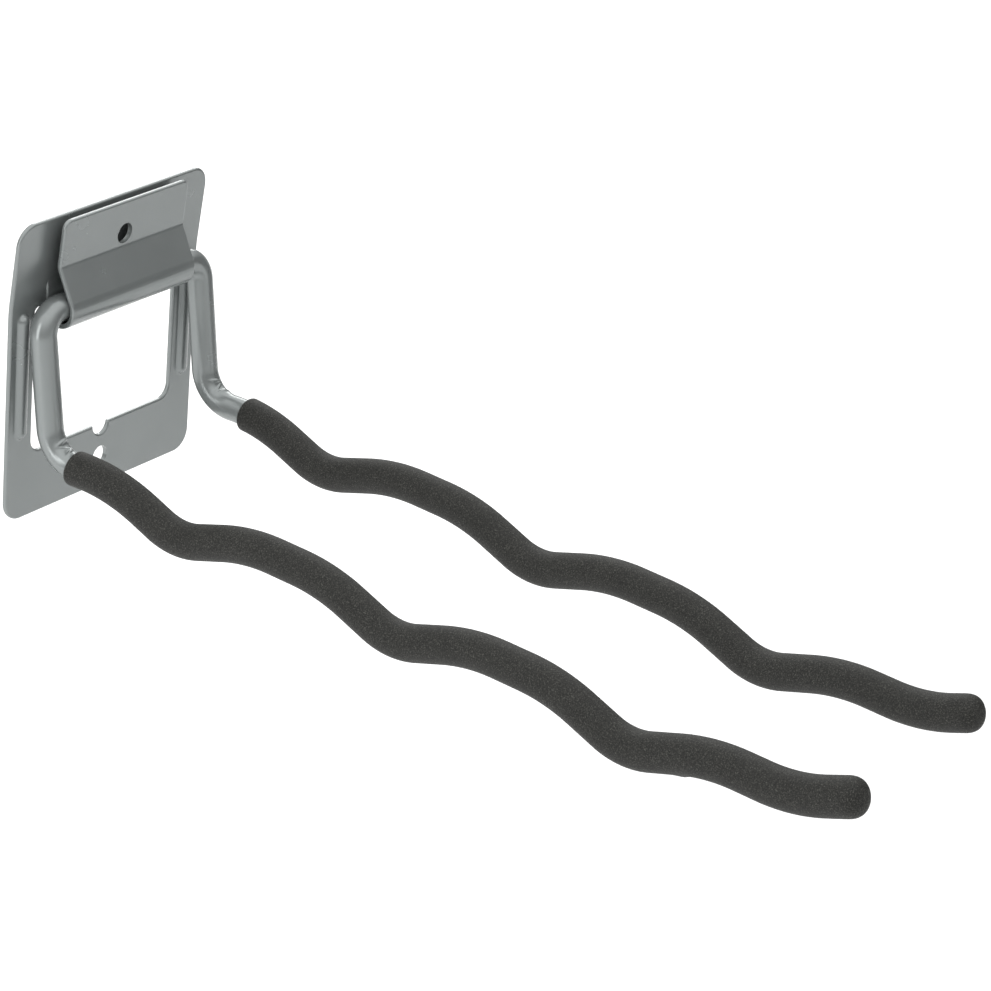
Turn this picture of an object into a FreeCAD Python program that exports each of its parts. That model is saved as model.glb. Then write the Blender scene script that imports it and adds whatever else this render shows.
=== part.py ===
"""Folding wall rack for bicycles: a pressed wall plate, a bent rod hook and two dipped sleeves.

Frame: +X to the right as seen from the room, +Y into the wall, +Z up, in millimetres.
The origin is on the back face of the plate, midway between the two screw holes.
The hook is modelled at rest, standing out into the room along -Y. Pairs of values are left, right:
the two arms are bent one at a time, so they differ a little.
"""
import FreeCAD, Part
import math
import os

V = FreeCAD.Vector

# Wall plate
PLATE_W = 104.0            # overall width
PLATE_H = 116.0            # overall height
SHEET = 2.0                # steel thickness of the plate and its tongue
CORNER_R = 8.0             # outer corners
EDGE_R = 0.75              # rounding of the sheared edges
LEAN = 6.25                # degrees that the top of the plate leans into the room
LEAN_BEND_R = 60.0         # centre radius of that bend
LEAN_BELOW_TOP = 33.0      # from the top edge down to the bend

# Screw holes, one near each end of the plate
SCREW_D = 8.0
UPPER_SCREW_FROM_TOP = 13.3
LOWER_SCREW_FROM_BOTTOM = 11.7

# Window under the tongue, and the strips and band round it
STRIP_W = 13.0             # strip on each side of the window
LOWER_BAND = 24.8          # band under the window
WINDOW_R = 5.0             # lower corners of the window
SLOT_W = 4.7               # gap between each side of the tongue and the strip
SLOT_R = 2.0               # upper ends of those gaps
SLOT_BELOW_HINGE = 0.8     # the gaps end this far below the hinge axis
NOTCH_R = 4.3              # half-round notch in the window's lower edge

# Stiffening beads pressed forward in the strips
BEAD_W = 7.4
BEAD_H = 2.35
BEAD_FOOT_R = 1.2
BEAD_ABOVE_WINDOW = 6.6    # lower end of the bead above the window's lower edge
BEAD_BELOW_HINGE = 0.7     # upper end of the bead below the hinge axis
BEAD_GROOVE_R = 1.7        # matching groove in the back of the plate
BEAD_GROOVE_DEPTH = 2.2

# Rod of the hook
ROD_D = 10.0
TOP_BEND_R = 9.0           # centre radius where the crossbar turns down into each leg
LOWER_BEND_R = 14.0        # centre radius where each leg turns out into its arm
LEG_LENGTHS = (55.1, 56.8) # from the hinge axis to the corner of the lower bend
LEG_LEAN = 7.7             # degrees that the legs lean out at rest
SIDE_PLAY = 0.65           # between the tongue's sides and the start of the bends
SIDE_SHIFT = 0.75          # how far the hook has slid to the right in the roll

# Hinge: the crossbar turns in the rolled root of the tongue
HINGE_BELOW_TOP = 33.7
PIN_CLEARANCE = 0.06       # radial
BEAD_CLEARANCE = 0.07      # between each leg and the upper end of its bead at rest
ROLL_SAG = 1.0             # the roll hangs this much lower than a close round bore

# Tongue above the roll
CREASE_ABOVE_HINGE = 15.2  # where the slanted part meets the upper flat
CREASE_FORWARD = 7.0       # the tongue's front face ahead of the plate's at the crease
CREASE_R = 3.0
TONGUE_BELOW_TOP = 0.2     # the tongue ends this far below the plate's top edge
TONGUE_CORNER_R = 3.5
ROOT_ABOVE_HINGE = 9.0     # where the tongue's root leaves the leaning plate
KNEE_ABOVE_HINGE = 3.5     # where the root turns straight down behind the crossbar
KNEE_R = 6.0

# Wavy arms
ARM_SLOPES = (3.5, 3.85)   # degrees that the line of the crests falls outward at rest
ARM_RISE = 2.2             # the crests above the corner of the lower bend
FIRST_DIPS = (60.5, 58.3)  # from that corner along the arm
DIP_PITCH = 97.2
DIP_COUNT = 3
DIP_DEPTH = 9.7
DIP_FLANK = 20.0           # degrees, slope of the sides of a dip
DIP_R = 26.0
CREST_R = 69.0
FIRST_STRAIGHT = 1.0       # straight rod between the lower bend and the first crest
TIP_TURN = 64.0            # from the last dip to where the tip turns up
TIP_ANGLE = 23.0           # degrees up from the line of the crests
TIP_R = 60.0
TIP_LENGTHS = (23.2, 20.0)

# Dipped sleeves on the arms
SLEEVE_WALL = 1.6
SLEEVE_STARTS = (18.2, 27.2)   # along the rod from the start of the lower bend
TIP_COVER = 3.0            # sleeve over the cut end of the rod
LIP_R = 1.2                # rounding of the sleeve's first edge

ROD_R = ROD_D / 2
SLEEVE_R = ROD_R + SLEEVE_WALL
BORE_R = ROD_R + PIN_CLEARANCE
WINDOW_W = PLATE_W - 2 * STRIP_W
TONGUE_W = WINDOW_W - 2 * SLOT_W
LEG_X = TONGUE_W / 2 + SIDE_PLAY + TOP_BEND_R
BEAD_X = WINDOW_W / 2 + STRIP_W / 2
BEAD_DOME_R = ((BEAD_W / 2) ** 2 + BEAD_H ** 2 - 2 * BEAD_FOOT_R * BEAD_H) / (2 * BEAD_H)
BEAD_DOME_Y = BEAD_DOME_R - SHEET - BEAD_H
SCREW_SPACING = PLATE_H - UPPER_SCREW_FROM_TOP - LOWER_SCREW_FROM_BOTTOM
SCREW_Z = SCREW_SPACING / 2
TOP_Z = SCREW_Z + UPPER_SCREW_FROM_TOP
BOTTOM_Z = -SCREW_Z - LOWER_SCREW_FROM_BOTTOM
LEAN_Z = TOP_Z - LEAN_BELOW_TOP
WINDOW_Z = BOTTOM_Z + LOWER_BAND
HINGE_Z = TOP_Z - HINGE_BELOW_TOP
# The legs just clear the upper ends of the beads, which sets how far out the hinge lies.
SEAT_DROP = BEAD_BELOW_HINGE + BEAD_W / 2
SEAT_RISE = max(TOP_BEND_R - SEAT_DROP, 0)
SEAT_X = LEG_X - TOP_BEND_R + math.sqrt(TOP_BEND_R ** 2 - SEAT_RISE ** 2)
SEAT_OFFSET = min(abs(BEAD_X - SEAT_X - SIDE_SHIFT), abs(BEAD_X - SEAT_X + SIDE_SHIFT))
SEAT_REACH = ROD_R / math.cos(math.radians(LEG_LEAN)) + BEAD_DOME_R + BEAD_CLEARANCE
SEAT_Y = BEAD_DOME_Y - math.sqrt(SEAT_REACH ** 2 - SEAT_OFFSET ** 2)
HINGE_Y = SEAT_Y + SEAT_DROP * math.tan(math.radians(LEG_LEAN))
CREASE_Z = HINGE_Z + CREASE_ABOVE_HINGE
DEEP = 200.0               # length of a cutting tool that passes right through


def rad(degrees):
    return math.radians(degrees)


def yz(y, z):
    """A point in the side view."""
    return V(0, y, z)


def rounded_path(corners, radii):
    """Edges of a line through the corners, with an arc of the given radius at each inner corner."""
    edges = []
    start = corners[0]
    for before, corner, after, radius in zip(corners, corners[1:], corners[2:], radii):
        back = (before - corner).normalize()
        ahead = (after - corner).normalize()
        half = back.getAngle(ahead) / 2
        reach = radius / math.tan(half)
        middle = (back + ahead).normalize()
        first = corner + back * reach
        last = corner + ahead * reach
        through = corner + middle * (radius / math.sin(half) - radius)
        edges.append(Part.makeLine(start, first))
        edges.append(Part.Arc(first, through, last).toShape())
        start = last
    edges.append(Part.makeLine(start, corners[-1]))
    return edges


def trimmed(edges, cut_start, cut_end):
    """The same edges with a length removed from each end."""
    kept = []
    travelled = 0.0
    last = sum(edge.Length for edge in edges) - cut_end
    for edge in edges:
        low = max(cut_start - travelled, 0.0)
        high = min(last - travelled, edge.Length)
        if high - low > 1e-6:
            first = edge.getParameterByLength(low)
            second = edge.getParameterByLength(high)
            kept.append(edge.Curve.toShape(first, second))
        travelled += edge.Length
    return kept


def pipe(edges, radius):
    """A round bar along the edges."""
    first = edges[0]
    direction = first.tangentAt(first.FirstParameter)
    circle = Part.makeCircle(radius, first.valueAt(first.FirstParameter), direction)
    return Part.Wire(edges).makePipeShell([Part.Wire(circle)], True, True)


def strip(edges, width):
    """Sheet metal of the given width, centred on X, whose middle follows edges in the side view."""
    half = SHEET / 2
    across = V(1, 0, 0)
    sides = []
    for side in (half, -half):
        moved = []
        for edge in edges:
            ends = []
            middle = (edge.FirstParameter + edge.LastParameter) / 2
            for at in (edge.FirstParameter, middle, edge.LastParameter):
                normal = across.cross(edge.tangentAt(at)).normalize()
                ends.append(edge.valueAt(at) + normal * side)
            if isinstance(edge.Curve, Part.Line):
                moved.append(Part.makeLine(ends[0], ends[2]))
            else:
                moved.append(Part.Arc(ends[0], ends[1], ends[2]).toShape())
        sides.append(moved)
    left, right = sides
    begin = Part.makeLine(first_point(left[0]), first_point(right[0]))
    finish = Part.makeLine(last_point(left[-1]), last_point(right[-1]))
    outline = Part.Wire(Part.__sortEdges__(left + right + [begin, finish]))
    face = Part.Face(outline)
    face.translate(V(-width / 2, 0, 0))
    return face.extrude(V(width, 0, 0))


def first_point(edge):
    return edge.valueAt(edge.FirstParameter)


def last_point(edge):
    return edge.valueAt(edge.LastParameter)


def upright_prism(low_x, high_x, low_z, high_z, low_r, high_r):
    """A block through the plate along Y, whose lower and upper corners are rounded."""
    block = Part.makeBox(high_x - low_x, 2 * DEEP, high_z - low_z, V(low_x, -DEEP, low_z))
    middle_z = (low_z + high_z) / 2
    for radius, below in ((low_r, True), (high_r, False)):
        picked = []
        for edge in block.Edges:
            along_y = abs(edge.tangentAt(edge.FirstParameter).y) > 0.99
            if along_y and (edge.CenterOfMass.z < middle_z) == below:
                picked.append(edge)
        block = block.makeFillet(radius, picked)
    return block


def soften(solid, radius, keep):
    """Round every sharp edge for which keep(edge) is true."""
    picked = []
    for edge in solid.Edges:
        faces = solid.ancestorsOfType(edge, Part.Face)
        if len(faces) == 2 and keep(edge) and is_sharp(edge, faces):
            picked.append(edge)
    return solid.makeFillet(radius, picked)


def is_sharp(edge, faces):
    """Whether the two faces meet at an angle along this edge."""
    middle = edge.valueAt((edge.FirstParameter + edge.LastParameter) / 2)
    normals = []
    for face in faces:
        u, v = face.Surface.parameter(middle)
        normals.append(face.normalAt(u, v))
    return abs(normals[0].dot(normals[1])) < 0.9


def screw_holes():
    """The two holes, as one cutting tool."""
    holes = []
    for z in (SCREW_Z, -SCREW_Z):
        holes.append(Part.makeCylinder(SCREW_D / 2, 2 * DEEP, V(0, -DEEP, z), V(0, 1, 0)))
    return holes[0].fuse(holes[1])


def bead_ends():
    """Heights of the centres of the two turned ends of a bead."""
    return WINDOW_Z + BEAD_ABOVE_WINDOW + BEAD_W / 2, HINGE_Z - SEAT_DROP


def bead(x):
    """One raised bead: a domed ridge with a hollow foot, turned at both ends."""
    low, high = bead_ends()
    half = BEAD_W / 2
    front = -SHEET
    foot_y = front - BEAD_FOOT_R
    # The dome and the foot touch on the line between their centres.
    share = BEAD_DOME_R / (BEAD_DOME_R + BEAD_FOOT_R)
    touch = V(half * share, BEAD_DOME_Y + (foot_y - BEAD_DOME_Y) * share, 0)
    half_turn = math.atan2(touch.x, BEAD_DOME_Y - touch.y) / 2
    dome_mid = V(BEAD_DOME_R * math.sin(half_turn), BEAD_DOME_Y - BEAD_DOME_R * math.cos(half_turn), 0)
    foot_end = V(half, front, 0)
    foot = V(half, foot_y, 0)
    bisector = ((touch - foot).normalize() + (foot_end - foot).normalize()).normalize()
    foot_mid = foot + bisector * BEAD_FOOT_R
    crest = V(0, front - BEAD_H, 0)
    root_y = front + SHEET / 2
    half_edges = [
        Part.Arc(crest, dome_mid, touch).toShape(),
        Part.Arc(touch, foot_mid, foot_end).toShape(),
        Part.makeLine(foot_end, V(half, root_y, 0)),
        Part.makeLine(V(half, root_y, 0), V(0, root_y, 0)),
        Part.makeLine(V(0, root_y, 0), crest),
    ]
    half_face = Part.Face(Part.Wire(half_edges))
    right = half_face.extrude(V(0, 0, high - low))
    left = right.mirror(V(0, 0, 0), V(1, 0, 0))
    right.translate(V(x, 0, low))
    left.translate(V(x, 0, low))
    ridge = right.fuse(left)
    for z in (low, high):
        end = half_face.revolve(V(0, 0, 0), V(0, 1, 0), 360)
        end.translate(V(x, 0, z))
        ridge = ridge.fuse(end)
    return ridge.removeSplitter()


def groove(x):
    """The hollow behind a bead."""
    low, high = bead_ends()
    y = -BEAD_GROOVE_DEPTH + BEAD_GROOVE_R
    hollow = Part.makeCylinder(BEAD_GROOVE_R, high - low, V(x, y, low))
    for z in (low, high):
        hollow = hollow.fuse(Part.makeSphere(BEAD_GROOVE_R, V(x, y, z)))
    half = BEAD_GROOVE_R
    mouth = Part.makeBox(2 * half, DEEP, high - low, V(x - half, y, low))
    for z in (low, high):
        mouth = mouth.fuse(Part.makeCylinder(half, DEEP, V(x, y, z), V(0, 1, 0)))
    return hollow.fuse(mouth)


def lean_y(z):
    """Middle of the sheet at height z in the leaning top of the plate."""
    return -SHEET / 2 - (z - LEAN_Z) * math.tan(rad(LEAN))


def flat_plate():
    """The plate with its lean, outline, window and notch, before the tongue and beads."""
    over = TOP_Z + SHEET
    corners = [yz(-SHEET / 2, BOTTOM_Z), yz(-SHEET / 2, LEAN_Z), yz(lean_y(over), over)]
    sheet = strip(rounded_path(corners, [LEAN_BEND_R]), PLATE_W)
    outline = upright_prism(-PLATE_W / 2, PLATE_W / 2, BOTTOM_Z, TOP_Z, CORNER_R, CORNER_R)
    plate = sheet.common(outline)
    slot_top = HINGE_Z - SLOT_BELOW_HINGE
    window = upright_prism(-WINDOW_W / 2, WINDOW_W / 2, WINDOW_Z, slot_top, WINDOW_R, SLOT_R)
    notch = Part.makeCylinder(NOTCH_R, 2 * DEEP, V(0, -DEEP, WINDOW_Z), V(0, 1, 0))
    plate = plate.cut(window.fuse(notch)).removeSplitter()
    return soften(plate, EDGE_R, lambda edge: abs(edge.tangentAt(edge.FirstParameter).y) < 0.9)


def tongue():
    """The tab that rolls under the crossbar and runs back up in front of the plate."""
    middle_r = BORE_R + SHEET / 2
    root_z = HINGE_Z + ROOT_ABOVE_HINGE
    root = yz(lean_y(root_z), root_z)
    crease = yz(-SHEET - CREASE_FORWARD + SHEET / 2, CREASE_Z)
    hinge = yz(HINGE_Y, HINGE_Z)
    front_touch = tangent_point(crease, hinge, middle_r)
    top_z = TOP_Z - TONGUE_BELOW_TOP
    top = yz(crease.y - (top_z - CREASE_Z) * math.tan(rad(LEAN)), top_z)
    rise = rounded_path([front_touch, crease, top], [CREASE_R])
    edges = roll_edges(root, front_touch, hinge, middle_r) + rise
    metal = strip(edges, TONGUE_W)
    outline = upright_prism(-TONGUE_W / 2, TONGUE_W / 2, BOTTOM_Z, top_z, 1.0, TONGUE_CORNER_R)
    metal = metal.common(outline).removeSplitter()
    below = root_z - SHEET
    return soften(metal, EDGE_R, lambda edge: edge.CenterOfMass.z < below or edge.CenterOfMass.y < crease.y)


def roll_edges(root, front_touch, hinge, radius):
    """The middle of the sheet where it goes round the crossbar, with a sagging bottom."""
    knee = hinge + yz(radius, KNEE_ABOVE_HINGE)
    back = hinge + yz(radius, 0)
    front = hinge - yz(radius, 0)
    sag = yz(0, -ROLL_SAG)
    front_mid = hinge + (front_touch + front - hinge * 2).normalize() * radius
    under = hinge + yz(0, -radius) + sag
    return rounded_path([root, knee, back + sag], [KNEE_R]) + [
        Part.Arc(back + sag, under, front + sag).toShape(),
        Part.makeLine(front + sag, front),
        Part.Arc(front, front_mid, front_touch).toShape(),
    ]


def tangent_point(outside, centre, radius):
    """Where a line from outside touches the circle, on its -Y side."""
    to_centre = centre - outside
    distance = to_centre.Length
    swing = math.asin(radius / distance)
    angle = math.atan2(to_centre.z, to_centre.y) - swing
    length = math.sqrt(distance ** 2 - radius ** 2)
    return outside + yz(math.cos(angle), math.sin(angle)) * length


def wall_plate():
    """The pressed plate with its tongue, beads and screw holes."""
    plate = flat_plate().fuse(tongue())
    for side in (-1, 1):
        plate = plate.fuse(bead(side * BEAD_X))
    for side in (-1, 1):
        plate = plate.cut(groove(side * BEAD_X))
    return plate.cut(screw_holes()).removeSplitter()


def arm_corners(side):
    """Corners and bend radii of one half of the rod, from the middle of the crossbar to its tip."""
    which = 0 if side < 0 else 1
    x = side * LEG_X + SIDE_SHIFT
    corner_y = HINGE_Y - LEG_LENGTHS[which] * math.sin(rad(LEG_LEAN))
    corner_z = HINGE_Z - LEG_LENGTHS[which] * math.cos(rad(LEG_LEAN))
    slope = rad(ARM_SLOPES[which])
    out = V(0, -math.cos(slope), -math.sin(slope))
    up = V(0, -math.sin(slope), math.cos(slope))
    elbow = V(x, corner_y, corner_z)
    crest_line = elbow + up * ARM_RISE
    points = [V(SIDE_SHIFT, HINGE_Y, HINGE_Z), V(x, HINGE_Y, HINGE_Z), elbow]
    radii = [TOP_BEND_R, LOWER_BEND_R]
    # The corner of a dip lies under its rounded bottom.
    flank = rad(DIP_FLANK)
    depth = DIP_DEPTH + DIP_R * (1 / math.cos(flank) - 1)
    half_width = depth / math.tan(flank)
    for number in range(DIP_COUNT):
        dip = FIRST_DIPS[which] + number * DIP_PITCH
        points.append(crest_line + out * (dip - half_width))
        points.append(crest_line + out * dip - up * depth)
        points.append(crest_line + out * (dip + half_width))
        radii += [CREST_R, DIP_R, CREST_R]
    turn = crest_line + out * (dip + TIP_TURN)
    tip = turn + (out * math.cos(rad(TIP_ANGLE)) + up * math.sin(rad(TIP_ANGLE))) * TIP_LENGTHS[which]
    points += [turn, tip]
    radii.append(TIP_R)
    # The first crest takes the room that the lower bend leaves before it.
    room = (points[3] - points[2]).Length - LOWER_BEND_R * half_turn_tan(*points[1:4]) - FIRST_STRAIGHT
    radii[2] = room / half_turn_tan(*points[2:5])
    return points, radii


def half_turn_tan(before, corner, after):
    """Tangent of half the angle that a path turns through at the corner."""
    return math.tan((corner - before).getAngle(after - corner) / 2)


def hook_rod():
    """One rod: left arm, left leg, crossbar, right leg and right arm."""
    left, left_radii = arm_corners(-1)
    right, right_radii = arm_corners(1)
    corners = left[:0:-1] + right[1:]
    radii = left_radii[::-1] + right_radii
    return pipe(rounded_path(corners, radii), ROD_R)


def sleeve(side, rod):
    """The coating on one arm, closed over the tip and cut square at its start."""
    points, radii = arm_corners(side)
    path = rounded_path(points, radii)
    to_lower_bend = sum(edge.Length for edge in path[:3])
    start_at = SLEEVE_STARTS[0 if side < 0 else 1]
    covered = trimmed(path, to_lower_bend + start_at, SLEEVE_R - TIP_COVER)
    start = first_point(covered[0])
    tip = last_point(covered[-1])
    coat = pipe(covered, SLEEVE_R)
    lip = [edge for edge in coat.Edges if is_rim(edge, start)]
    coat = coat.makeFillet(LIP_R, lip)
    coat = coat.fuse(Part.makeSphere(SLEEVE_R, tip)).removeSplitter()
    return coat.cut(rod)


def is_rim(edge, centre):
    """Whether the edge is the circle round the given point."""
    return isinstance(edge.Curve, Part.Circle) and (edge.Curve.Center - centre).Length < 1e-3


os.makedirs("parts", exist_ok=True)
rod = hook_rod()
shapes = {
    "wall_plate": wall_plate(),
    "hook_rod": rod,
    "left_sleeve": sleeve(-1, rod),
    "right_sleeve": sleeve(1, rod),
}
for name, shape in shapes.items():
    shape.exportStep("parts/" + name + ".step")
    box = shape.BoundBox
    print(name, shape.isValid(), len(shape.Solids), "solid", round(shape.Volume), "mm3",
          [round(v, 2) for v in (box.XMin, box.XMax, box.YMin, box.YMax, box.ZMin, box.ZMax)])
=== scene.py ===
"""Folding bicycle wall rack: painted steel plate and rod, dip-coated sleeves, in a plain studio."""

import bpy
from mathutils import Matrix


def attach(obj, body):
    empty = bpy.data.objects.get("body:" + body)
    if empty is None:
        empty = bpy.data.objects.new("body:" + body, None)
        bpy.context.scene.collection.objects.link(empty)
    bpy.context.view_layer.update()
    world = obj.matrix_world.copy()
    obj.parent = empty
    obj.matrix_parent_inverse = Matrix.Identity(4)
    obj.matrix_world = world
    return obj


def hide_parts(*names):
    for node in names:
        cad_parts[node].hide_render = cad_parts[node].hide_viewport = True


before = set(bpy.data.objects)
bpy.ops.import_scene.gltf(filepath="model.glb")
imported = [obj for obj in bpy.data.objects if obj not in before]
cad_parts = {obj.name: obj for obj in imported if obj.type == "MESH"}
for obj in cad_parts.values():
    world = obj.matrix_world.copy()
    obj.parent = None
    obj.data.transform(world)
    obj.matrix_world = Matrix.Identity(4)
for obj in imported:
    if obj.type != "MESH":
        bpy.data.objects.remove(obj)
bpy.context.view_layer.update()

import math

import bpy
import numpy as np
from mathutils import Matrix, Vector

MM = 0.001

# ---------------------------------------------------------------- the rod's route, in mm
# As in the CAD. Pairs are left, right.
ROD_R = 5.0
HINGE = np.array([0.0, -8.6, 25.1])
SIDE_SHIFT = 0.75
LEG_X = 43.95
TOP_BEND_R = 9.0
LOWER_BEND_R = 14.0
LEG_LENGTHS = (55.1, 56.8)
LEG_LEAN = math.radians(7.7)
ARM_SLOPES = (math.radians(3.5), math.radians(3.85))
ARM_RISE = 2.2
FIRST_DIPS = (60.5, 58.3)
DIP_PITCH = 97.2
DIP_COUNT = 3
DIP_DEPTH = 9.7
DIP_FLANK = math.radians(20.0)
DIP_R = 26.0
CREST_R = 69.0
FIRST_STRAIGHT = 1.0
TIP_TURN = 64.0
TIP_ANGLE = math.radians(23.0)
TIP_R = 60.0
TIP_LENGTHS = (23.2, 20.0)
TIP_COVER = 3.0

# ---------------------------------------------------------------- sleeves, in mm
SLEEVE_R = 6.6
SLEEVE_STARTS = (18.2, 27.2)   # along the rod from the start of the lower bend
TIP_R_LEFT = 7.1               # the coating thickens towards the tips, more on the left
TIP_R_RIGHT = 6.8
SLEEVE_SEGMENTS = 64
LIP = 1.4                      # rounding of the sleeve's first edge
LIP_RINGS = 9
LIP_SHARE = 0.95               # share of the rounding by which the edge draws in
UNDER_LIP = 0.3                # the sleeve's first ring lies this far inside the rod's surface
TIP_SQUARENESS = 2.7           # 2 would be a round dome
TIP_RINGS = 24
TIP_HOLE = 0.02                # radius of the last ring, so that no face has zero area
# A drip that dried under the left arm: distance past its last dip, height, and half width.
DRIP = (22.0, 1.1, 2.6)
DRIP_FALL = 12                 # how narrowly it keeps to the underside
THICKEN = 1.5                  # above 1, most of the thickening is near the tip

# ---------------------------------------------------------------- paths and meshes, in mm
STEP = 0.4                     # between rings along the rod
SLEEVE_STEP = STEP * 1.5
BEND_FINENESS = 3              # points of a bend for each step
FEWEST_BEND_POINTS = 8
SAME_PLACE = 1e-6
REACH = 0.05                   # a tangent is taken from this far ahead to this far behind

# Never in line with the rod, which runs in X, down the legs and out along -Y.
BEND_AXIS = np.array([0.35, 0.8, -0.45])


def unit(v):
    """The vector at length 1."""
    return v / np.linalg.norm(v)


def arm_corners(side):
    """Corners and bend radii of one half of the rod, from the middle of the crossbar to its tip."""
    which = 0 if side < 0 else 1
    middle = HINGE + [SIDE_SHIFT, 0, 0]
    level = middle + [side * LEG_X, 0, 0]
    elbow = level - LEG_LENGTHS[which] * np.array([0, math.sin(LEG_LEAN), math.cos(LEG_LEAN)])
    slope = ARM_SLOPES[which]
    out = np.array([0, -math.cos(slope), -math.sin(slope)])
    up = np.array([0, -math.sin(slope), math.cos(slope)])
    crest_line = elbow + up * ARM_RISE
    points = [middle, level, elbow]
    radii = [TOP_BEND_R, LOWER_BEND_R]
    depth = DIP_DEPTH + DIP_R * (1 / math.cos(DIP_FLANK) - 1)
    half_width = depth / math.tan(DIP_FLANK)
    for number in range(DIP_COUNT):
        dip = FIRST_DIPS[which] + number * DIP_PITCH
        points.append(crest_line + out * (dip - half_width))
        points.append(crest_line + out * dip - up * depth)
        points.append(crest_line + out * (dip + half_width))
        radii += [CREST_R, DIP_R, CREST_R]
    turn = crest_line + out * (dip + TIP_TURN)
    upturned = out * math.cos(TIP_ANGLE) + up * math.sin(TIP_ANGLE)
    points += [turn, turn + upturned * TIP_LENGTHS[which]]
    radii.append(TIP_R)
    # The first crest takes the room that the lower bend leaves before it.
    bend_end = LOWER_BEND_R * half_turn_tan(*points[1:4])
    room = np.linalg.norm(points[3] - points[2]) - bend_end - FIRST_STRAIGHT
    radii[2] = room / half_turn_tan(*points[2:5])
    return points, radii


def half_turn_tan(before, corner, after):
    """Tangent of half the angle that a path turns through at the corner."""
    return math.tan(math.acos(float(unit(corner - before) @ unit(after - corner))) / 2)


def rounded_path(corners, radii, step):
    """Closely spaced points, with their distances along the path and the place of each bend."""
    dense = [corners[0]]
    bends = []
    length = 0.0
    for before, corner, after, radius in zip(corners, corners[1:], corners[2:], radii):
        back = unit(before - corner)
        ahead = unit(after - corner)
        half = math.acos(float(back @ ahead)) / 2
        centre = corner + unit(back + ahead) * radius / math.sin(half)
        first = corner + back * radius / math.tan(half)
        last = corner + ahead * radius / math.tan(half)
        length += np.linalg.norm(first - dense[-1])
        sweep = math.pi - 2 * half
        bends.append((length, length + sweep * radius, centre))
        length += sweep * radius
        count = max(FEWEST_BEND_POINTS, int(sweep * radius / step * BEND_FINENESS))
        start = unit(first - centre)
        side = unit((last - centre) - start * float((last - centre) @ start))
        for i in range(count + 1):
            angle = sweep * i / count
            dense.append(centre + radius * (start * math.cos(angle) + side * math.sin(angle)))
    dense.append(corners[-1])
    dense = np.array(dense)
    gaps = np.linalg.norm(np.diff(dense, axis=0), axis=1)
    travelled = np.concatenate([[0], np.cumsum(gaps)])
    keep = np.concatenate([[True], np.diff(travelled) > SAME_PLACE])
    return dense[keep], travelled[keep], bends


def along(dense, travelled, at):
    """Points and unit tangents at distances along the path."""
    points = np.stack([np.interp(at, travelled, dense[:, k]) for k in range(3)], 1)
    ahead = np.stack([np.interp(at + REACH, travelled, dense[:, k]) for k in range(3)], 1)
    behind = np.stack([np.interp(at - REACH, travelled, dense[:, k]) for k in range(3)], 1)
    tangents = ahead - behind
    tangents /= np.linalg.norm(tangents, axis=1)[:, None]
    return points, tangents


def new_mesh(name, vertices, faces):
    """A smooth-shaded object in the scene, from vertices in mm."""
    mesh = bpy.data.meshes.new(name)
    mesh.from_pydata([tuple(v) for v in np.asarray(vertices) * MM], [], faces)
    mesh.validate()
    mesh.polygons.foreach_set("use_smooth", [True] * len(mesh.polygons))
    mesh.update()
    obj = bpy.data.objects.new(name, mesh)
    bpy.context.scene.collection.objects.link(obj)
    return obj


def ring_vectors(tangents, segments):
    """Unit vectors around each tangent. One rule for every ring keeps them from twisting."""
    across = np.cross(tangents, BEND_AXIS)
    across /= np.linalg.norm(across, axis=1)[:, None]
    other = np.cross(tangents, across)
    angles = np.arange(segments) * 2 * math.pi / segments
    cosines = np.cos(angles)[None, :, None]
    sines = np.sin(angles)[None, :, None]
    return cosines * across[:, None, :] + sines * other[:, None, :]


def tube(name, centres, tangents, radius, segments):
    """A skin around the centres. radius is an array of ring by segment. Both ends are closed."""
    ring = ring_vectors(tangents, segments)
    vertices = (centres[:, None, :] + ring * radius[:, :, None]).reshape(-1, 3)
    faces = []
    for i in range(len(centres) - 1):
        here = i * segments
        there = here + segments
        for j in range(segments):
            k = (j + 1) % segments
            faces.append((here + j, here + k, there + k, there + j))
    vertices = np.concatenate([vertices, centres[:1], centres[-1:]])
    first = len(vertices) - 2
    base = (len(centres) - 1) * segments
    for j in range(segments):
        k = (j + 1) % segments
        faces.append((first, k, j))
        faces.append((first + 1, base + j, base + k))
    return new_mesh(name, vertices, faces)


# ---------------------------------------------------------------- materials
GREY = (0.226, 0.243, 0.241)
GREY_MOTTLE = 0.07             # how much lighter and darker the paint's clouds are
PAINT_METALLIC = 0.5
PAINT_ROUGHNESS = (0.22, 0.30) # least and most in the mottling
PLAIN_ROUGHNESS = 0.36         # the mottling overrides it in every render
VINYL = (0.0195, 0.0195, 0.0172)
VINYL_ROUGHNESS = 0.62
VINYL_SPECULAR = 0.25
# Where in the noise each stop lies, and how many times the vinyl's own colour it is.
GRAIN_DARK, GRAIN_MIDDLE, GRAIN_PALE = (0.36, 0.40), (0.55, 1.05), (0.74, 4.3)
GRAIN_SHADE = (0.78, 1.22)     # slow light and dark along the sleeve


def material(name, colour, roughness):
    """A new material and its shader."""
    mat = bpy.data.materials.new(name)
    mat.use_nodes = True
    shader = mat.node_tree.nodes["Principled BSDF"]
    shader.inputs["Base Color"].default_value = (*colour, 1)
    shader.inputs["Roughness"].default_value = roughness
    return mat, shader


def noise(tree, where, scale, detail):
    """A noise texture in the object's own space."""
    texture = tree.nodes.new("ShaderNodeTexNoise")
    texture.inputs["Scale"].default_value = scale
    texture.inputs["Detail"].default_value = detail
    tree.links.new(where.outputs["Object"], texture.inputs["Vector"])
    return texture


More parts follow.
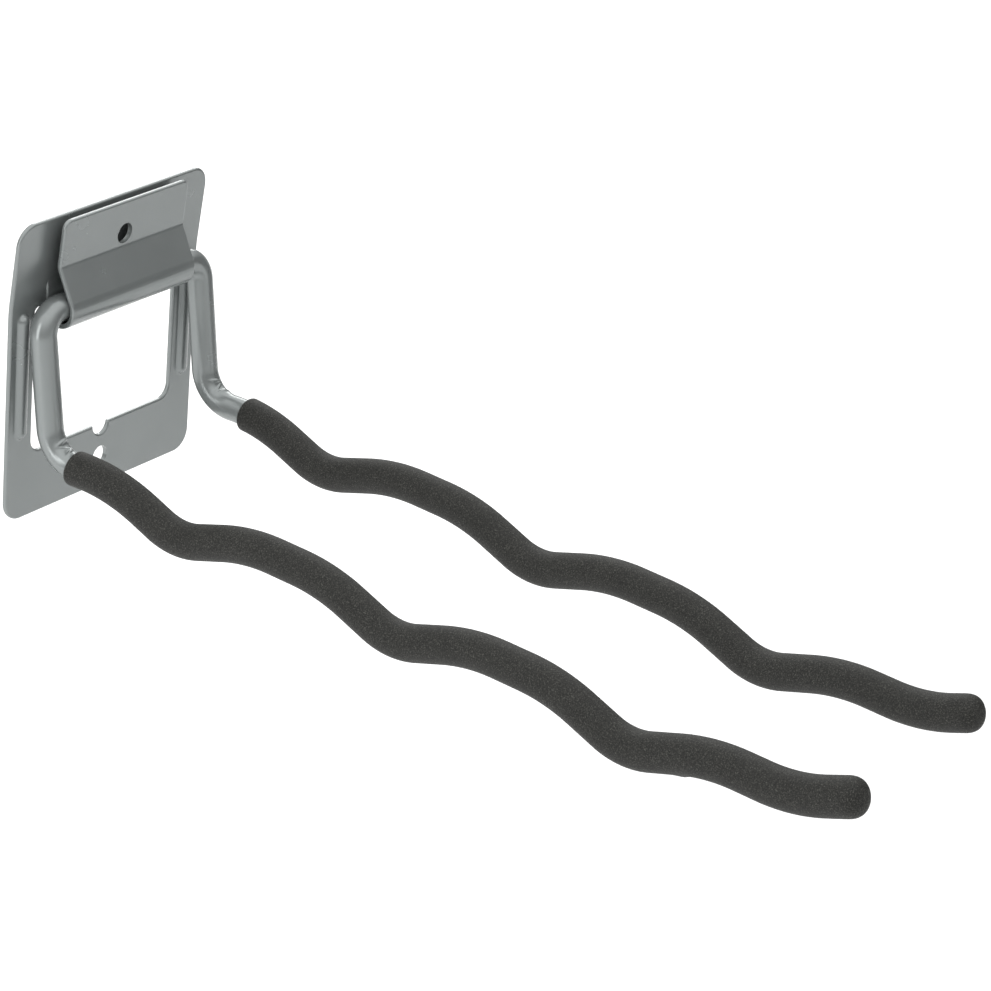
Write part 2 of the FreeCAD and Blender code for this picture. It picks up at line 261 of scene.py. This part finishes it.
def spread(tree, texture, low, high):
    """The noise mapped from 0..1 to low..high."""
    ranged = tree.nodes.new("ShaderNodeMapRange")
    ranged.inputs["To Min"].default_value = low
    ranged.inputs["To Max"].default_value = high
    tree.links.new(texture.outputs["Fac"], ranged.inputs["Value"])
    return ranged.outputs["Result"]


def relief(tree, shader, texture, strength, distance):
    """The noise as fine bump."""
    bump = tree.nodes.new("ShaderNodeBump")
    bump.inputs["Strength"].default_value = strength
    bump.inputs["Distance"].default_value = distance
    tree.links.new(texture.outputs["Fac"], bump.inputs["Height"])
    tree.links.new(bump.outputs["Normal"], shader.inputs["Normal"])


def tinted(colour, share):
    """The colour times share, opaque."""
    return (*[c * share for c in colour], 1)


def painted(name, colour):
    """Semi-gloss sprayed paint with faint mottling and orange peel."""
    mat, shader = material(name, colour, PLAIN_ROUGHNESS)
    tree = mat.node_tree
    where = tree.nodes.new("ShaderNodeTexCoord")
    cloud = noise(tree, where, scale=55, detail=5)
    tint = tree.nodes.new("ShaderNodeMix")
    tint.data_type = "RGBA"
    tint.inputs["A"].default_value = tinted(colour, 1 - GREY_MOTTLE)
    tint.inputs["B"].default_value = tinted(colour, 1 + GREY_MOTTLE)
    tree.links.new(cloud.outputs["Fac"], tint.inputs["Factor"])
    tree.links.new(tint.outputs["Result"], shader.inputs["Base Color"])
    tree.links.new(spread(tree, cloud, *PAINT_ROUGHNESS), shader.inputs["Roughness"])
    peel = noise(tree, where, scale=700, detail=3)
    relief(tree, shader, peel, strength=0.25, distance=0.0001)
    shader.inputs["Metallic"].default_value = PAINT_METALLIC
    return mat


def grained(name, colour):
    """Matt dipped vinyl: a sandy grain with pale specks, on a slightly uneven skin."""
    mat, shader = material(name, colour, VINYL_ROUGHNESS)
    tree = mat.node_tree
    where = tree.nodes.new("ShaderNodeTexCoord")
    sand = noise(tree, where, scale=2100, detail=2)
    sand.inputs["Roughness"].default_value = 0.75
    specks = tree.nodes.new("ShaderNodeValToRGB")
    stops = specks.color_ramp.elements
    stops[0].position, stops[0].color = GRAIN_DARK[0], tinted(colour, GRAIN_DARK[1])
    stops[1].position, stops[1].color = GRAIN_PALE[0], tinted(colour, GRAIN_PALE[1])
    middle = stops.new(GRAIN_MIDDLE[0])
    middle.color = tinted(colour, GRAIN_MIDDLE[1])
    tree.links.new(sand.outputs["Fac"], specks.inputs["Fac"])
    tint = tree.nodes.new("ShaderNodeVectorMath")
    tint.operation = "SCALE"
    tree.links.new(specks.outputs["Color"], tint.inputs["Vector"])
    cloud = noise(tree, where, scale=130, detail=3)
    tree.links.new(spread(tree, cloud, *GRAIN_SHADE), tint.inputs["Scale"])
    tree.links.new(tint.outputs["Vector"], shader.inputs["Base Color"])
    relief(tree, shader, sand, strength=0.6, distance=0.0003)
    shader.inputs["Specular IOR Level"].default_value = VINYL_SPECULAR
    return mat


plate_paint = painted("plate_paint", GREY)
rod_paint = painted("rod_paint", GREY)
sleeve_vinyl = grained("sleeve_vinyl", VINYL)


def dress(obj, mat):
    """Give the object this material and no other."""
    obj.data.materials.clear()
    obj.data.materials.append(mat)


dress(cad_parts["wall_plate"], plate_paint)
dress(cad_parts["hook_rod"], rod_paint)


# ---------------------------------------------------------------- the rod
def bump_at(distance, centre, width):
    """A smooth hump, 1 at the centre."""
    return np.exp(-((distance - centre) / width) ** 2)


def whole_rod_corners():
    """Corners and bend radii of the whole rod, from the left tip to the right one."""
    left, left_radii = arm_corners(-1)
    right, right_radii = arm_corners(1)
    return left[:0:-1] + right[1:], left_radii[::-1] + right_radii


# The ridges that the former left inside each lower bend: distance from the middle of the bend,
# slant across it, height and width.
CREASES = ((-3.6, 2.5, 0.60, 0.7), (-0.4, -3.0, 0.45, 0.5), (3.2, 1.5, 0.65, 0.8))
CRUSH_DEPTH = 0.9
CRUSH_WIDTH = 3.4
OUTSIDE_FLAT = (0.12, 0.30)    # how flat the outside of a lower and of a top bend is drawn
# How narrowly each shape keeps to its side of the rod.
CRUSH_FALL = 5
CREASE_FALL = 7
FLAT_FALL = 4
UNDER_SLEEVE = 14.0            # how far the rod's skin runs on inside each sleeve
ROD_SEGMENTS = 96


def facing_inward(ring, centres, bend_centre):
    """How directly each point of each ring faces the inside of a bend, from -1 to 1."""
    inward = bend_centre - centres
    inward /= np.linalg.norm(inward, axis=1)[:, None]
    return (ring * inward[:, None, :]).sum(2)


def bare_rod():
    """The rod from under one sleeve to under the other, with its crushed elbows, as one skin."""
    corners, radii = whole_rod_corners()
    dense, travelled, bends = rounded_path(corners, radii, STEP)
    per_arm = len(radii) // 2
    lower_bends = (bends[per_arm - 2], bends[per_arm + 1])
    top_bends = (bends[per_arm - 1], bends[per_arm])
    start = lower_bends[0][1] - SLEEVE_STARTS[0] - UNDER_SLEEVE
    end = lower_bends[1][0] + SLEEVE_STARTS[1] + UNDER_SLEEVE
    at = np.arange(start, end, STEP)
    centres, tangents = along(dense, travelled, at)
    ring = ring_vectors(tangents, ROD_SEGMENTS)
    radius = np.full((len(at), ROD_SEGMENTS), ROD_R)
    for first, last, centre in lower_bends:
        facing = np.clip(facing_inward(ring, centres, centre), 0, 1)
        middle = (first + last) / 2
        crush = bump_at(at, middle, CRUSH_WIDTH)[:, None]
        radius = radius - crush * facing ** CRUSH_FALL * CRUSH_DEPTH
        for offset, tilt, height, width in CREASES:
            ridge = bump_at(at[:, None] - ring[:, :, 0] * tilt, middle + offset, width)
            radius = radius + ridge * facing ** CREASE_FALL * height
    for flat_by, pair in zip(OUTSIDE_FLAT, (lower_bends, top_bends)):
        for first, last, centre in pair:
            outward = np.clip(-facing_inward(ring, centres, centre), 0, 1)
            flat = bump_at(at, (first + last) / 2, (last - first) / 2)[:, None]
            radius = radius - flat * outward ** FLAT_FALL * flat_by
    obj = tube("rod_skin", centres, tangents, radius, ROD_SEGMENTS)
    dress(obj, rod_paint)
    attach(obj, "hook")
    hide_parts("hook_rod")


bare_rod()


# ---------------------------------------------------------------- sleeves
def sleeve(name, side, thick, node, drip=None):
    """The dipped coating on one arm, a little thicker towards its squarish closed tip."""
    which = 0 if side < 0 else 1
    corners, radii = arm_corners(side)
    dense, travelled, bends = rounded_path(corners, radii, STEP)
    start = bends[1][0] + SLEEVE_STARTS[which]
    end = travelled[-1] - SLEEVE_R + TIP_COVER
    lip_at = start + LIP * (1 - np.cos(np.linspace(0, math.pi / 2, LIP_RINGS)))
    body = np.arange(start + LIP + STEP, end, SLEEVE_STEP)
    at = np.concatenate([lip_at, body])
    centres, tangents = along(dense, travelled, at)
    share = (at - start) / (end - start)
    radius = SLEEVE_R + (thick - SLEEVE_R) * share ** THICKEN
    inside = np.clip(1 - (at - start) / LIP, 0, 1)
    radius = radius - LIP * (1 - np.sqrt(1 - inside ** 2)) * LIP_SHARE
    tip, direction = along(dense, travelled, np.array([end]))
    dome = np.linspace(0, math.pi / 2, TIP_RINGS)[1:]
    power = 2 / TIP_SQUARENESS
    dome_centres = tip + direction * (np.sin(dome) ** power * thick)[:, None]
    dome_radius = np.maximum(np.maximum(np.cos(dome), 0) ** power * thick, TIP_HOLE)
    centres = np.concatenate([centres[:1], centres, tip, dome_centres])
    straight_on = np.tile(direction, (len(dome), 1))
    tangents = np.concatenate([tangents[:1], tangents, direction, straight_on])
    radius = np.concatenate([[ROD_R - UNDER_LIP], radius, [thick], dome_radius])
    radius = np.repeat(radius[:, None], SLEEVE_SEGMENTS, 1)
    if drip:
        past, height, width = drip
        first, last, _ = bends[-3]
        spot = np.concatenate([[start], at, [end], end + np.sin(dome) * thick])
        below = np.clip(-ring_vectors(tangents, SLEEVE_SEGMENTS)[:, :, 2], 0, 1) ** DRIP_FALL
        swell = bump_at(spot, (first + last) / 2 + past, width)[:, None]
        radius = radius + swell * below * height
    obj = tube(name, centres, tangents, radius, SLEEVE_SEGMENTS)
    dress(obj, sleeve_vinyl)
    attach(obj, "hook")
    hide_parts(node)


sleeve("left_sleeve_skin", -1, TIP_R_LEFT, "left_sleeve", DRIP)
sleeve("right_sleeve_skin", 1, TIP_R_RIGHT, "right_sleeve")

# ---------------------------------------------------------------- camera, in metres
CAMERA_AT = Vector((-1.00218, -0.84047, 0.52775))
AZIMUTH, ELEVATION, ROLL = (math.radians(a) for a in (56.637, 23.904, 5.018))
LENS = 137.457

flat = math.cos(ELEVATION)
ahead = Vector((math.sin(AZIMUTH) * flat, math.cos(AZIMUTH) * flat, -math.sin(ELEVATION)))
level = ahead.cross(Vector((0, 0, 1))).normalized()
upright = level.cross(ahead)
right = level * math.cos(ROLL) + upright * math.sin(ROLL)
top = upright * math.cos(ROLL) - level * math.sin(ROLL)
camera = bpy.data.objects.new("camera", bpy.data.cameras.new("camera"))
camera.data.lens = LENS
camera.data.sensor_width = 36
camera.data.clip_end = 20
turned = Matrix((right, top, -ahead)).transposed().to_4x4()
camera.matrix_world = Matrix.Translation(CAMERA_AT) @ turned
bpy.context.scene.collection.objects.link(camera)
bpy.context.scene.camera = camera

# ---------------------------------------------------------------- floor and light, in metres
FLOOR_Z = -0.42
FLOOR_SIZE = (12.0, 12.0)
FLOOR_WHITE = (0.9, 0.9, 0.9)
CARD_BLACK = (0.06, 0.06, 0.06)
MATT = 0.9                     # roughness
CORNERS = ((-1, -1), (1, -1), (1, 1), (-1, 1))


def rectangle(name, size, z=0.0):
    """A flat rectangle at this height, centred on the Z axis."""
    width, height = size
    vertices = [(x * width / MM / 2, y * height / MM / 2, z / MM) for x, y in CORNERS]
    return new_mesh(name, vertices, [(0, 1, 2, 3)])


floor = rectangle("floor", FLOOR_SIZE, FLOOR_Z)
dress(floor, material("floor", FLOOR_WHITE, MATT)[0])

# A light tent: bright overhead, darker round the sides, and the pale floor below.
SIDE_GLOW = 0.34
TOP_GLOW = 1.75
world = bpy.data.worlds.new("studio")
bpy.context.scene.world = world
world.use_nodes = True
sky = world.node_tree
where = sky.nodes.new("ShaderNodeTexCoord")
split = sky.nodes.new("ShaderNodeSeparateXYZ")
glow = sky.nodes.new("ShaderNodeMapRange")
glow.interpolation_type = "SMOOTHSTEP"
glow.inputs["From Min"].default_value = 0.15
glow.inputs["From Max"].default_value = 0.80
glow.inputs["To Min"].default_value = SIDE_GLOW
glow.inputs["To Max"].default_value = TOP_GLOW
sky.links.new(where.outputs["Generated"], split.inputs["Vector"])
sky.links.new(split.outputs["Z"], glow.inputs["Value"])
sky.links.new(glow.outputs["Result"], sky.nodes["Background"].inputs["Strength"])
sky.nodes["Background"].inputs["Color"].default_value = (1, 1, 1, 1)
bpy.context.scene.view_settings.view_transform = "Standard"


def softbox(name, at, size, watts):
    """A rectangular lamp that faces the origin."""
    lamp = bpy.data.lights.new(name, "AREA")
    lamp.shape = "RECTANGLE"
    lamp.size, lamp.size_y = size
    lamp.energy = watts
    obj = bpy.data.objects.new(name, lamp)
    obj.location = at
    obj.rotation_euler = (-Vector(at)).to_track_quat("-Z", "Y").to_euler()
    bpy.context.scene.collection.objects.link(obj)


softbox("left", (-1.6, 0.38, 0.35), (0.5, 1.2), 8)
softbox("behind", (1.45, 0.95, 0.75), (1.1, 0.5), 8)


def dark_card(name, at, size):
    """A card that faces the origin and keeps stray light off the object. No camera sees it."""
    card = rectangle(name, size)
    card.location = at
    card.rotation_euler = (-Vector(at)).to_track_quat("-Z", "Y").to_euler()
    card.visible_camera = False
    dress(card, material(name, CARD_BLACK, MATT)[0])


dark_card("card", (0.70, -0.46, 0.02), (0.9, 0.5))
